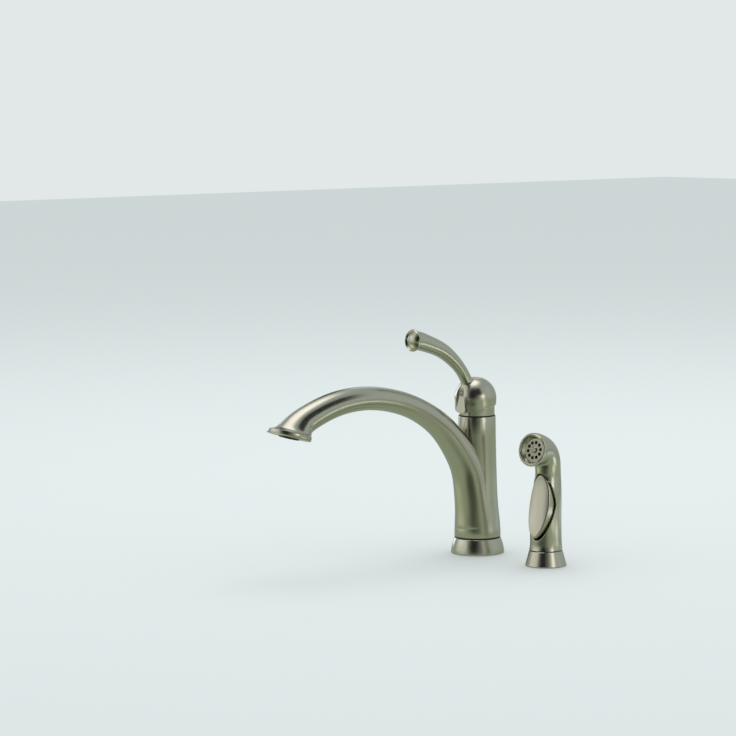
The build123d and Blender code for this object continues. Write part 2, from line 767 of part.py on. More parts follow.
def wand_shell():
    skin = wand_skin()
    pocket = extrude(front_plane(-pocket_floor) * pocket_outline(trigger_gap, trigger_end_gap), 40)
    body = skin - pocket
    mouth = [edge for edge in new_edges(skin, pocket, combined=body) if edge.center().Y < -1]
    body = fillet(mouth, pocket_rounding) + cylinder(spigot_radius, spigot_bottom, wand_bottom)
    body -= cylinder(waterway_radius, nipple_top, head_way_height, 0, waterway_back)
    body -= along_y(waterway_radius, waterway_back + 1, -5, head_way_height)
    body -= Pos(0, waterway_back, head_way_height) * Sphere(waterway_radius)
    body -= along_y(valve_radius + seat_fit, 0, waterway_back, valve_height)
    body -= along_x(trigger_pin_radius + seat_fit, trigger_pin_half_length() + 0.1, -trigger_pin_reach,
                    trigger_pin_height)
    body -= head_frame * cylinder(wand_head_radius - face_ring_width, -face_depth, 1)
    body -= head_frame * cylinder(wand_head_radius - 5.6, -head_hollow_depth, 0)
    body += head_frame * ring(3.6, face_screw_radius + seat_fit, -head_hollow_depth - 0.5, -face_depth)
    return body - cylinder(nipple_radius + seat_fit, spigot_bottom - 1, nipple_top + 3)


def trigger_pin_half_length():
    share = (trigger_pin_height - trigger_middle) / (trigger_half_height + trigger_end_gap)
    return (trigger_half_width + trigger_gap) * math.sqrt(1 - share**2) + 1.2


trigger_profile = [
    (8.0, 89.5), (8.6, 80.0), (10.0, 70.0), (12.0, 60.0), (14.3, 50.0), (16.7, 40.0), (18.3, 32.0),
    (18.9, 25.0),
]


def trigger_front(inset):
    """Solid behind the trigger's crowned front, which stands out most near its lower end."""
    behind = 25.0
    edge = Spline(*[(behind + reach - inset, height) for reach, height in trigger_profile])
    (top_reach, top), (bottom_reach, bottom) = trigger_profile[0], trigger_profile[-1]
    rest = Polyline(
        (behind + bottom_reach - inset, bottom), (behind - 6, bottom), (behind - 6, top),
        (behind + top_reach - inset, top))
    return Pos(0, behind, 0) * turned_edges(edge + rest)


def trigger():
    shoulder = trigger_back + trigger_flank
    depth = trigger_profile[-1][0] - trigger_back
    slab = extrude(front_plane(trigger_back) * pocket_outline(0, 0), trigger_flank)
    slab += extrude(front_plane(shoulder - 0.1) * pocket_outline(0, 0), depth, taper=trigger_draft)
    hollow = extrude(front_plane(trigger_back - 1) * pocket_outline(-trigger_rim, -trigger_rim), depth)
    hollow = (hollow & trigger_front(trigger_wall)) - Pos(0, 0, trigger_pin_height) * Box(
        4 * trigger_half_width, 4 * trigger_half_width, 2 * pin_land)
    body = slab & trigger_front(0)
    body = fillet(new_edges(slab, trigger_front(0), combined=body), trigger_rounding) - hollow
    return body - along_x(trigger_pin_radius + running_fit, 20, -trigger_pin_reach, trigger_pin_height)


def trigger_pin():
    return along_x(trigger_pin_radius, trigger_pin_half_length(), -trigger_pin_reach, trigger_pin_height)


def valve_cartridge():
    body = along_y(valve_radius, waterway_back - 3.4, -valve_face, valve_height)
    return body - along_y(valve_stem_radius + running_fit, waterway_back, -valve_face - 1, valve_height)


def valve_stem():
    """Push rod from the valve to just behind the trigger's inner face."""
    tip = trigger_reach_at(valve_height + valve_stem_radius) - trigger_wall - free_gap
    return along_y(valve_stem_radius, waterway_back - 5.2, -tip, valve_height)


def trigger_reach_at(height):
    """How far ahead of the wand's axis the trigger's front lies at a height."""
    (reach1, height1), (reach2, height2) = [
        pair for pair in zip(trigger_profile, trigger_profile[1:]) if pair[1][1] <= height <= pair[0][1]
    ][0]
    return reach1 + (reach2 - reach1) * (height1 - height) / (height1 - height2)


def face_ring():
    outer = wand_head_radius - face_ring_width - seat_fit
    return head_frame * turned(
        (outer, -face_depth), (outer, 0.2), (outer - 0.5, 0.7), (outer - 1.1, 0.5),
        (outer - 1.5, -0.4), (outer - 1.5, -face_depth))


def spray_face():
    edge = wand_head_radius - face_ring_width - 1.5 - 2 * seat_fit
    dish = turned(
        (0, -face_depth), (edge, -face_depth), (edge, -1.2), (edge - 0.6, -1.0),
        (edge - 2.4, -dish_depth), (0, -dish_depth))
    holes = Sketch() + [
        Rot(0, 0, spray_hole_start + 360 * step / spray_hole_count)
        * Pos(spray_hole_circle_radius, 0, -face_depth - 1)
        * Circle(spray_hole_radius)
        for step in range(spray_hole_count)
    ]
    dish -= extrude(holes, face_depth)
    return head_frame * (dish - cylinder(face_screw_radius + seat_fit, -face_depth - 1, 0))


def face_screw():
    stem = cylinder(face_screw_radius, -face_depth - 5, -dish_depth)
    boss = turned(
        (0, -dish_depth), (2.9, -dish_depth), (2.9, -dish_depth + 1.0), (2.2, -dish_depth + 1.7),
        (1.2, -dish_depth + 1.7), (0.9, -dish_depth + 1.3), (0, -dish_depth + 1.3))
    return head_frame * (stem + boss)


def hose_nipple():
    bottom = nipple_top - nipple_length
    body = cylinder(nipple_radius, bottom, nipple_top)
    body -= cylinder(nipple_thread_radius, bottom - 1, bottom + 12)
    return body - cylinder(2.8, bottom, nipple_top + 1)


# ---- spray holder --------------------------------------------------------------------------
liner_outer = 13.0
liner_inner = spigot_radius + free_gap


def spray_holder():
    body = turned(
        (0, -holder_shank_length), (holder_shank_radius - 0.8, -holder_shank_length),
        (holder_shank_radius, -holder_shank_length + 0.8), (holder_shank_radius, 0),
        (holder_foot_radius - 0.4, 0), (holder_foot_radius, 0.4), (holder_foot_radius, 1.2),
        (holder_top_radius, holder_height - 0.4), (holder_top_radius - 0.4, holder_height),
        (0, holder_height))
    body -= cylinder(holder_bore_radius, -holder_shank_length - 1, holder_height + 1)
    body -= cylinder(nipple_room_radius, nipple_top - nipple_length - 4, holder_height + 1)
    body -= cylinder(liner_outer + seat_fit, spigot_bottom - 2, holder_height + 1)
    return body - ring(holder_foot_radius - 1.8, holder_shank_radius + 0.2, -1, gasket_thickness)


def holder_liner():
    sleeve = ring(liner_outer, liner_inner, spigot_bottom - 2, holder_height)
    return sleeve + ring(holder_top_radius - 0.8, liner_inner, holder_height, holder_height + 0.6)


def holder_gasket():
    return ring(holder_foot_radius - 2.0, holder_shank_radius + 0.3, 0, gasket_thickness)


def holder_clamp_gasket():
    return ring(holder_nut_flats / 2 + 1, holder_shank_radius + free_gap,
                washer_top - gasket_thickness, washer_top)


def holder_nut():
    return hex_nut(holder_nut_flats, holder_shank_radius + seat_fit,
                   washer_top - gasket_thickness - holder_nut_height, washer_top - gasket_thickness)


def main():
    os.makedirs("parts", exist_ok=True)
    pieces = {
        "base_ring": base_ring(),
        "base_gasket": base_gasket(),
        "valve_body": valve_body(),
        "spout_o_rings": spout_o_rings(),
        "diverter_seat": diverter_seat(),
        "diverter_piston": diverter_piston(),
        "glide_ring": glide_ring(),
        "clamp_gasket": clamp_gasket(),
        "clamp_washer": clamp_washer(),
        "clamp_nut": clamp_nut(),
        "spout_body": spout_body(),
        "aerator_housing": aerator_housing(),
        "aerator_washer": aerator_washer(),
        "aerator_insert": aerator_insert(),
        "base_seal": base_seal(),
        "cartridge_housing": cartridge_housing(),
        "fixed_disc": fixed_disc(),
        "moving_disc": moving_disc(),
        "disc_carriage": disc_carriage(),
        "stem_carrier": stem_carrier(),
        "pivot_pin": pivot_pin(),
        "spindle": spindle(),
        "cartridge_nut": cartridge_nut(),
        "bonnet": bonnet(),
        "handle": handle(),
        "lever_cap": lever_cap(),
        "temperature_button": temperature_button(),
        "set_screw": set_screw(),
        "wand_shell": parked(wand_shell()),
        "trigger": parked(trigger()),
        "trigger_pin": parked(trigger_pin()),
        "valve_cartridge": parked(valve_cartridge()),
        "valve_stem": parked(valve_stem()),
        "face_ring": parked(face_ring()),
        "spray_face": parked(spray_face()),
        "face_screw": parked(face_screw()),
        "hose_nipple": parked(hose_nipple()),
        "spray_holder": parked(spray_holder()),
        "holder_liner": parked(holder_liner()),
        "holder_gasket": parked(holder_gasket()),
        "holder_clamp_gasket": parked(holder_clamp_gasket()),
        "holder_nut": parked(holder_nut()),
    }
    for name, shape in pieces.items():
        if isinstance(shape, list):
            shape = Compound(children=shape)
        export_step(shape, f"parts/{name}.step")


main()
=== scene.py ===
import json
import math
import bpy
from mathutils import Matrix, Vector


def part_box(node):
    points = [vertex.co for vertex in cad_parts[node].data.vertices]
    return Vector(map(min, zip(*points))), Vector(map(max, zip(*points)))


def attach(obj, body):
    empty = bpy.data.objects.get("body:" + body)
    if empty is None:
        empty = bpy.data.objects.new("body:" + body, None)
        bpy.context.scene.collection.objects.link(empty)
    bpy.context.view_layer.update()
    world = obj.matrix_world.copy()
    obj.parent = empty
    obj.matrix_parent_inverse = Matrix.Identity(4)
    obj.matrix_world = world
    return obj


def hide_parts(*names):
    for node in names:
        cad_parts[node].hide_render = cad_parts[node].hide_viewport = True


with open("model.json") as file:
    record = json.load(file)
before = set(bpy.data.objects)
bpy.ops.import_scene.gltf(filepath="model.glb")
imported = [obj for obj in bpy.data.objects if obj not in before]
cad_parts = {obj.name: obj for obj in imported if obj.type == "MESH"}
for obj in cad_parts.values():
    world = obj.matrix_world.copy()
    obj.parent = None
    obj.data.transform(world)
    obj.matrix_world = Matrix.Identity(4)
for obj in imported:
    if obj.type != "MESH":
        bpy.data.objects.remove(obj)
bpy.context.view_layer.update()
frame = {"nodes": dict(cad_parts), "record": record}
nodes = frame["nodes"]


def toLinear(hexColour, alpha=1.0):
    parts = [int(hexColour[i:i + 2], 16) / 255 for i in (1, 3, 5)]
    return [c / 12.92 if c <= 0.04045 else ((c + 0.055) / 1.055) ** 2.4 for c in parts] + [alpha]


def addNode(tree, kind, place, values=None, links=None, **settings):
    node = tree.nodes.new(kind)
    node.location = place
    for name, value in settings.items():
        setattr(node, name, value)
    for name, value in (values or {}).items():
        node.inputs[name].default_value = value
    for name, source in (links or {}).items():
        tree.links.new(source, node.inputs[name])
    return node


def newMaterial(name):
    material = bpy.data.materials.new(name)
    material.use_nodes = True
    tree = material.node_tree
    tree.nodes.clear()
    output = tree.nodes.new("ShaderNodeOutputMaterial")
    output.location = (900, 0)
    return material, tree, output


# camera at the photograph's place, a long lens looking slightly down
cameraSetup = {
    "place": (2.0949, -1.77126, 0.45967),
    "right": (0.6161, 0.7876, -0.0087),
    "up": (-0.0735, 0.0684, 0.9949),
    "back": (0.7842, -0.6123, 0.1),
    "lens": 136.957,
    "sensor": 36.0,
}
cameraData = bpy.data.cameras.new("photoCamera")
cameraData.lens = cameraSetup["lens"]
cameraData.sensor_width = cameraSetup["sensor"]
cameraData.clip_end = 50
camera = bpy.data.objects.new("photoCamera", cameraData)
bpy.context.scene.collection.objects.link(camera)
columns = [cameraSetup["right"], cameraSetup["up"], cameraSetup["back"], cameraSetup["place"]]
camera.matrix_world = Matrix([[columns[c][r] for c in range(4)] for r in range(3)] + [[0, 0, 0, 1]])
bpy.context.scene.camera = camera
bpy.context.scene.view_settings.view_transform = "Standard"
print("camera placed")


# metals: colour drifts a little over the surface, and fine tool or brush lines change how sharply
# it mirrors.
# grain is mm across a line and grainLength mm along it, round the upright axis of each piece.
def grainedMetal(name, setup):
    material, tree, output = newMaterial(name)
    place = addNode(tree, "ShaderNodeTexCoord", (-1100, 0))
    lines = addNode(tree, "ShaderNodeMapping", (-900, 0), links={"Vector": place.outputs["Object"]},
                    values={"Scale": [1000 / setup["grainLength"]] * 2 + [1000 / setup["grain"]]})
    grain = addNode(tree, "ShaderNodeTexNoise", (-700, 0), {"Scale": 1.0, "Detail": 2.0, "Roughness": 0.5},
                    {"Vector": lines.outputs[0]})
    cloud = addNode(tree, "ShaderNodeTexNoise", (-700, -260),
                    {"Scale": 1000 / setup["cloud"], "Detail": 3.0},
                    {"Vector": place.outputs["Object"]})
    tone = addNode(tree, "ShaderNodeMix", (-300, 60), data_type="RGBA")
    tone.inputs["A"].default_value = toLinear(setup["dark"])
    tone.inputs["B"].default_value = toLinear(setup["light"])
    tree.links.new(cloud.outputs["Fac"], tone.inputs["Factor"])
    rough = addNode(tree, "ShaderNodeMapRange", (-300, -160),
                    {"To Min": setup["roughness"] - setup["roughnessSpread"],
                     "To Max": setup["roughness"] + setup["roughnessSpread"]},
                    {"Value": grain.outputs["Fac"]})
    shader = addNode(tree, "ShaderNodeBsdfPrincipled", (300, 0), {"Metallic": 1.0},
                     {"Base Color": tone.outputs["Result"], "Roughness": rough.outputs[0]})
    if setup.get("bump"):
        relief = addNode(tree, "ShaderNodeBump", (0, -400),
                         {"Strength": setup["bump"], "Distance": setup["grain"] / 5000},
                         {"Height": grain.outputs["Fac"]})
        tree.links.new(relief.outputs[0], shader.inputs["Normal"])
    tree.links.new(shader.outputs[0], output.inputs["Surface"])
    return material


# satin nickel: zinc and brass castings, plated, then brushed with a fine belt. The eye sees a warm grey
# metal whose highlights are softly drawn out. Real brush lines are near 0.05 mm, so only their blur
# shows here.
satinNickel = grainedMetal("satinNickel", {
    "light": "#cecabb",
    "dark": "#c8c3b4",
    "roughness": 0.235,
    "roughnessSpread": 0.012,
    "grain": 0.9,
    "grainLength": 30.0,
    "cloud": 60.0,
})
# machined brass: turned on a lathe and left bare, so its rings are plain to see
machinedBrass = grainedMetal("machinedBrass", {
    "light": "#d8b673",
    "dark": "#b8914f",
    "roughness": 0.3,
    "roughnessSpread": 0.07,
    "grain": 0.4,
    "grainLength": 60.0,
    "cloud": 25.0,
    "bump": 0.3,
})
# stainless steel: pins, screws and the pressed washer, ground smooth
groundSteel = grainedMetal("groundSteel", {
    "light": "#c6c7c6",
    "dark": "#a9abab",
    "roughness": 0.28,
    "roughnessSpread": 0.05,
    "grain": 0.3,
    "grainLength": 20.0,
    "cloud": 15.0,
    "bump": 0.15,
})


# plastics, rubber and ceramic: moulded or pressed, with a fine even texture of speck millimetres
def mouldedSurface(name, setup):
    material, tree, output = newMaterial(name)
    place = addNode(tree, "ShaderNodeTexCoord", (-900, 0))
    speck = addNode(tree, "ShaderNodeTexNoise", (-700, 0), {"Scale": 1000 / setup["speck"], "Detail": 2.0},
                    {"Vector": place.outputs["Object"]})
    cloud = addNode(tree, "ShaderNodeTexNoise", (-700, -260), {"Scale": 80.0, "Detail": 2.0},
                    {"Vector": place.outputs["Object"]})
    tone = addNode(tree, "ShaderNodeMix", (-300, 60), data_type="RGBA")
    tone.inputs["A"].default_value = toLinear(setup["dark"])
    tone.inputs["B"].default_value = toLinear(setup["light"])
    tree.links.new(cloud.outputs["Fac"], tone.inputs["Factor"])
    rough = addNode(tree, "ShaderNodeMapRange", (-300, -160),
                    {"To Min": setup["roughness"] - 0.05, "To Max": setup["roughness"] + 0.05},
                    {"Value": speck.outputs["Fac"]})
    relief = addNode(tree, "ShaderNodeBump", (0, -300),
                     {"Strength": setup["bump"], "Distance": setup["speck"] / 4000},
                     {"Height": speck.outputs["Fac"]})
    shader = addNode(tree, "ShaderNodeBsdfPrincipled", (300, 0),
                     {"IOR": setup["ior"], "Coat Weight": setup.get("coat", 0.0)},
                     {"Base Color": tone.outputs["Result"], "Roughness": rough.outputs[0],
                      "Normal": relief.outputs[0]})
    tree.links.new(shader.outputs[0], output.inputs["Surface"])
    return material, tree, shader, tone


# nitrile rubber: moulded seals, dull and slightly grey where talc stays in the grain
nitrileRubber = mouldedSurface("nitrileRubber", {
    "light": "#232322",
    "dark": "#151515",
    "roughness": 0.72,
    "speck": 0.5,
    "bump": 0.25,
    "ior": 1.52,
})[0]
# acetal: moulded black bushes and cartridge parts, with a low sheen
blackAcetal = mouldedSurface("blackAcetal", {
    "light": "#1b1b1a",
    "dark": "#101010",
    "roughness": 0.42,
    "speck": 0.35,
    "bump": 0.12,
    "ior": 1.48,
})[0]
# aerator insert: dark grey acetal, wet-looking rim
greyAcetal = mouldedSurface("greyAcetal", {
    "light": "#2f302e",
    "dark": "#242523",
    "roughness": 0.38,
    "speck": 0.35,
    "bump": 0.1,
    "ior": 1.48,
})[0]
# alumina ceramic: pressed, fired and lapped discs, nearly white and polished
aluminaCeramic = mouldedSurface("aluminaCeramic", {
    "light": "#f0ece2",
    "dark": "#e6e1d5",
    "roughness": 0.16,
    "speck": 0.2,
    "bump": 0.03,
    "ior": 1.76,
    "coat": 0.2,
})[0]

# button: moulded ABS in the nickel's colour, with a hot half and a cold half printed as two small arcs
buttonSetup = {
    "light": "#b4ad97",
    "dark": "#a8a18b",
    "roughness": 0.3,
    "speck": 0.3,
    "bump": 0.05,
    "ior": 1.54,
    "hot": "#6b4034",
    "cold": "#3f4a55",
    "arc": (1.5, 2.7),     # mm from the button's middle
}


def buttonMaterial(setup):
    material, tree, shader, tone = mouldedSurface("buttonAbs", setup)
    low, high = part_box("temperature_button")
    middle = [(a + b) / 2 for a, b in zip(low, high)]
    place = addNode(tree, "ShaderNodeTexCoord", (-1500, 500))
    flat = addNode(tree, "ShaderNodeMapping", (-1300, 500), {"Location": [-middle[0], 0, -middle[2]],
                   "Scale": (1, 0, 1)}, {"Vector": place.outputs["Object"]})
    distance = addNode(tree, "ShaderNodeVectorMath", (-1100, 500), links={0: flat.outputs[0]},
                       operation="LENGTH")
    inner, outer = [edge / 1000 for edge in setup["arc"]]
    band = addNode(tree, "ShaderNodeMath", (-900, 500), {1: (inner + outer) / 2, 2: (outer - inner) / 2},
                   {0: distance.outputs["Value"]}, operation="COMPARE")
    side = addNode(tree, "ShaderNodeSeparateXYZ", (-1100, 700), links={0: flat.outputs[0]})
    half = addNode(tree, "ShaderNodeMath", (-900, 700), {1: 0.0}, {0: side.outputs["X"]},
                   operation="GREATER_THAN")
    ink = addNode(tree, "ShaderNodeMix", (-600, 600), links={"Factor": half.outputs[0]}, data_type="RGBA")
    ink.inputs["A"].default_value = toLinear(setup["hot"])
    ink.inputs["B"].default_value = toLinear(setup["cold"])
    face = addNode(tree, "ShaderNodeMix", (0, 300), links={"Factor": band.outputs[0]}, data_type="RGBA")
    tree.links.new(tone.outputs["Result"], face.inputs["A"])
    tree.links.new(ink.outputs["Result"], face.inputs["B"])
    tree.links.new(face.outputs["Result"], shader.inputs["Base Color"])
    return material


finishes = {
    "satin_nickel": satinNickel,
    "brass": machinedBrass,
    "steel": groundSteel,
    "rubber": nitrileRubber,
    "black_plastic": blackAcetal,
    "grey_plastic": greyAcetal,
    "ceramic": aluminaCeramic,
    "button_plastic": buttonMaterial(buttonSetup),
}
for part in frame["record"]["subparts"]:
    slots = nodes[part["node"]].data.materials
    slots.clear()
    slots.append(finishes[part["material_slot"]])
print("materials made")

roundSteps = 96                      # facets round a turned piece
weldGap = 0.000002                   # metres, points nearer than this are one
smoothAngle = math.radians(40)       # edges sharper than this stay crisp
bevelAngle = math.radians(60)        # edges sharper than this are softened

# spout: one casting of a column, an arm that sheathes its front and grows out of it, and a flared outlet.
# It is the casting's outside, closed, with a bore for the core in its column and no water way in its arm.
# Millimetres and degrees. Column stations are (height, radius). Arm stations are rings across the arm, each
# (forward, height, radius, lean of the arm from upright), and outlet rings (back, up, radius) at its tilt.
spoutSetup = {
    "column": [(16.9, 22.9), (24, 22.7), (31.4, 22.2), (40, 21.3), (47.4, 20.6), (58, 19.9),
               (72, 19.4), (95, 18.9), (116, 18.55), (136.2, 18.4)],
    "arm": [(0.4, 17, 22.8, 0), (0.4, 30, 22.4, 1), (1.7, 41, 21, 5), (3.4, 52.5, 20, 8),
            (6.1, 68, 19.1, 12), (9.4, 80.1, 18, 19), (15.4, 92.1, 16.5, 30), (24.5, 104.9, 15, 39),
            (39.3, 123.3, 13.5, 46), (55.6, 136.9, 12.3, 56), (78, 149.7, 11.5, 65),
            (100.2, 157.8, 11.3, 74), (133, 164.7, 11.5, 87), (166.4, 163.1, 12, 99),
            (187.9, 157.8, 12.5, 108), (208.6, 149.8, 12.9, 119), (216.4, 145.4, 13.6, 132),
            (220.3, 142.7, 15, 148)],
    "neck": [(4.3, 7.6, 16.8), (3.1, 5.9, 18.0), (1.2, 4.9, 19.6), (0.4, 4.2, 20.6), (0.4, 2.0, 20.6)],
    "flange": [(12.0, 0.0), (20.6, 0.0), (21.1, 0.2), (21.27, 0.7), (21.27, 3.5), (21.1, 4.1), (20.5, 4.4),
               (12.0, 4.4)],
    "outlet": (230.3, 134.0, 17.0),     # forward, height, degrees of tilt
    "bore": 15.4,
    "boreReach": (10, 134),             # heights between which the bore is cut in the arm
    "edge": 0.4,
    "around": 32,
}


def startPiece(thing, name):
    bpy.ops.object.select_all(action="DESELECT")
    thing.select_set(True)
    bpy.context.view_layer.objects.active = thing
    thing.name = name
    thing.data.name = name


def closeMesh(thing):
    startPiece(thing, thing.name)
    bpy.ops.object.mode_set(mode="EDIT")
    bpy.ops.mesh.select_all(action="SELECT")
    bpy.ops.mesh.remove_doubles(threshold=weldGap)
    bpy.ops.mesh.normals_make_consistent(inside=False)
    bpy.ops.object.mode_set(mode="OBJECT")


def ringedSkin(name, rings, around):
    forward, height, radius, lean = rings[0]
    bpy.ops.object.select_all(action="DESELECT")
    bpy.ops.mesh.primitive_circle_add(vertices=around, radius=radius / 1000, fill_type="NGON",
                                      location=(0, -forward / 1000, height / 1000))
    thing = bpy.context.active_object
    bpy.ops.object.transform_apply(location=True)
    bpy.ops.object.mode_set(mode="EDIT")
    bpy.ops.mesh.select_all(action="SELECT")
    for before, after in zip(rings, rings[1:]):
        forward, height, radius, lean = after
        middle = (0, -forward / 1000, height / 1000)
        bpy.ops.mesh.extrude_edges_move(
            TRANSFORM_OT_translate={"value": (0, (before[0] - forward) / 1000, (height - before[1]) / 1000)})
        turn = math.radians(before[3] - lean)
        bpy.ops.transform.rotate(value=turn, orient_axis="X", center_override=middle)
        bpy.ops.transform.resize(value=[radius / before[2]] * 3, center_override=middle)
    bpy.ops.mesh.edge_face_add()
    bpy.ops.object.mode_set(mode="OBJECT")
    startPiece(thing, name)
    closeMesh(thing)
    smooth = thing.modifiers.new("smooth", "SUBSURF")
    smooth.levels = 2
    smooth.render_levels = 2
    bpy.ops.object.modifier_apply(modifier="smooth")
    return thing


def spunRing(name, profile):
    bpy.ops.object.select_all(action="DESELECT")
    bpy.ops.mesh.primitive_plane_add(size=0.001, location=(profile[0][0] / 1000, 0, profile[0][1] / 1000))
    thing = bpy.context.active_object
    bpy.ops.object.transform_apply(location=True)
    bpy.ops.object.mode_set(mode="EDIT")
    bpy.ops.mesh.merge(type="CENTER")
    for (r0, z0), (r1, z1) in zip(profile, profile[1:] + profile[:1]):
        bpy.ops.mesh.extrude_vertices_move(
            TRANSFORM_OT_translate={"value": ((r1 - r0) / 1000, 0, (z1 - z0) / 1000)})
    bpy.ops.mesh.select_all(action="SELECT")
    bpy.ops.mesh.remove_doubles(threshold=weldGap)
    bpy.ops.mesh.spin(steps=roundSteps, angle=2 * math.pi, center=(0, 0, 0), axis=(0, 0, 1))
    bpy.ops.object.mode_set(mode="OBJECT")
    startPiece(thing, name)
    closeMesh(thing)
    return thing


def cutBore(thing, radius, bottom, top):
    bpy.ops.object.select_all(action="DESELECT")
    bpy.ops.mesh.primitive_cylinder_add(vertices=roundSteps, radius=radius / 1000,
                                        depth=(top - bottom) / 1000, location=(0, 0, (top + bottom) / 2000))
    cutter = bpy.context.active_object
    startPiece(thing, thing.name)
    cut = thing.modifiers.new("bore", "BOOLEAN")
    cut.object = cutter
    cut.operation = "DIFFERENCE"
    cut.solver = "EXACT"
    bpy.ops.object.modifier_apply(modifier="bore")
    bpy.data.objects.remove(cutter)


def softenEdges(thing, width):
    startPiece(thing, thing.name)
    bevel = thing.modifiers.new("edge", "BEVEL")
    bevel.width = width / 1000
    bevel.segments = 3
    bevel.limit_method = "ANGLE"
    bevel.angle_limit = bevelAngle
    bpy.ops.object.modifier_apply(modifier="edge")


def outletRings(setup):
    reach, rise, tilt = setup["outlet"]
    lean = math.radians(tilt)
    return [(reach - back * math.cos(lean) - up * math.sin(lean),
             rise - back * math.sin(lean) + up * math.cos(lean), radius, 180 - tilt)
            for back, up, radius in setup["neck"]]


def spoutCasting(setup):
    reach, rise, tilt = setup["outlet"]
    side = setup["column"]
    profile = [(setup["bore"], side[0][0])] + [(radius, height) for height, radius in side]
    column = spunRing("column", profile + [(setup["bore"], side[-1][0])])
    softenEdges(column, setup["edge"])
    arm = ringedSkin("arm", setup["arm"] + outletRings(setup), setup["around"])
    cutBore(arm, setup["bore"], *setup["boreReach"])
    flange = spunRing("flange", setup["flange"])
    startPiece(flange, "flange")
    flange.rotation_euler = (-math.radians(tilt), 0, 0)
    flange.location = (0, -reach / 1000, rise / 1000)
    bpy.ops.object.transform_apply(location=True, rotation=True)
    for thing in [arm, flange, column]:
        thing.select_set(True)
    bpy.context.view_layer.objects.active = column
    bpy.ops.object.join()
    startPiece(column, "spoutCasting")
    bpy.ops.object.shade_smooth_by_angle(angle=smoothAngle)
    column.data.materials.clear()
    column.data.materials.append(satinNickel)
    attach(column, "spout")
    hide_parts("spout_body")
    return column


# painted shade: two black rings that draw the shade in the gap under the column and in the gap between the
# column and the bonnet as two dark lines. Each is (inner radius, outer radius, bottom, top) in millimetres.
# The lower ring lies over the frame's own glide_ring, which stays shown too.
gapShadeSetup = {
    "lowerGapShade": (16.0, 22.6, 15.4, 16.9),
    "upperGapShade": (15.8, 17.9, 136.25, 136.95),
}


# painted shade: a black ring set in a gap, standing in for the shade there as a dark line
def gapShadeRing(name, setup):
    inner, outer, bottom, top = setup
    ring = spunRing(name, [(inner, bottom), (outer, bottom), (outer, top), (inner, top)])
    startPiece(ring, name)
    bpy.ops.object.shade_smooth_by_angle(angle=smoothAngle)
    ring.data.materials.append(blackAcetal)
    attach(ring, "deck_body")
    return ring


spoutCasting(spoutSetup)
for name, setup in gapShadeSetup.items():
    gapShadeRing(name, setup)
print("spout made")

# floor, seamless with the pale surroundings
floorSetup = {"size": 16.0, "colour": "#f3f8f8"}
worldSetup = {"seen": "#e2e8e8", "light": "#eef3f3", "strength": 0.8}


def plainFloor(setup):
    material, tree, output = newMaterial("paleFloor")
    shader = addNode(tree, "ShaderNodeBsdfDiffuse", (300, 0), {"Color": toLinear(setup["colour"])})
    tree.links.new(shader.outputs[0], output.inputs["Surface"])
    bpy.ops.object.select_all(action="DESELECT")
    bpy.ops.mesh.primitive_plane_add(size=setup["size"])
    floor = bpy.context.active_object
    floor.name = "floor"
    floor.data.materials.append(material)


def paleWorld(setup):
    world = bpy.data.worlds.new("studio")
    bpy.context.scene.world = world
    world.use_nodes = True
    tree = world.node_tree
    sky = tree.nodes["Background"]
    sky.inputs["Color"].default_value = toLinear(setup["light"])
    sky.inputs["Strength"].default_value = setup["strength"]
    backdrop = addNode(tree, "ShaderNodeBackground", (0, -200), {"Color": toLinear(setup["seen"])})
    rays = addNode(tree, "ShaderNodeLightPath", (-200, 300))
    mix = addNode(tree, "ShaderNodeMixShader", (300, 0), {}, {0: rays.outputs["Is Camera Ray"],
                  1: sky.outputs[0], 2: backdrop.outputs[0]})
    tree.links.new(mix.outputs[0], tree.nodes["World Output"].inputs["Surface"])


plainFloor(floorSetup)
paleWorld(worldSetup)

# the studio that the metal mirrors: a wide tent round the faucet, seen only in reflections. Each panel or
# flag on it has a direction (degrees from +X towards +Y, degrees above the deck), a half width and a half
# height in degrees, a colour, a brightness, and how much of it is soft edge.
tentSetup = {
    "aim": (0.0, -0.07, 0.1),
    "radius": 3.0,
    "segments": 64,
    "rings": 32,
    "base": ("#f0fffd", 0.47),
    "spots": {
        "overhead": (185, 80, 32, 29, "#fffffe", 1.7, 0.6),
        "overheadLeft": (185, 64, 20, 16, "#fffffe", 1.5, 0.6),
        "leftWall": (238, 18, 38, 42, "#fbfff8", 0.8, 0.4),
        "leftCream": (226, 26, 22, 20, "#fcfffa", 1.05, 0.5),
        "leftWhite": (172, 4, 13, 22, "#e6edff", 2.2, 0.5),
        "leftGap": (194, 2, 8, 24, "#f0fffd", 0.35, 0.6),
        "frontDark": (310, 24, 46, 56, "#f9fff6", 0.14, 0.35),
        "frontDarker": (303, 20, 22, 50, "#efffed", 0.01, 0.45),
        "rightMiddle": (356, 26, 20, 40, "#f9fff6", 0.5, 0.5),
        "rightPale": (48, 24, 34, 34, "#f0fffd", 0.54, 0.5),
        "rightStrip": (5, 12, 12, 15, "#fffff2", 1.7, 0.5),
        "backCream": (135, 30, 8, 14, "#f7faff", 0.9, 0.5),
        "backDark": (150, 30, 8, 15, "#effff9", 0.0, 0.5),
    },
}
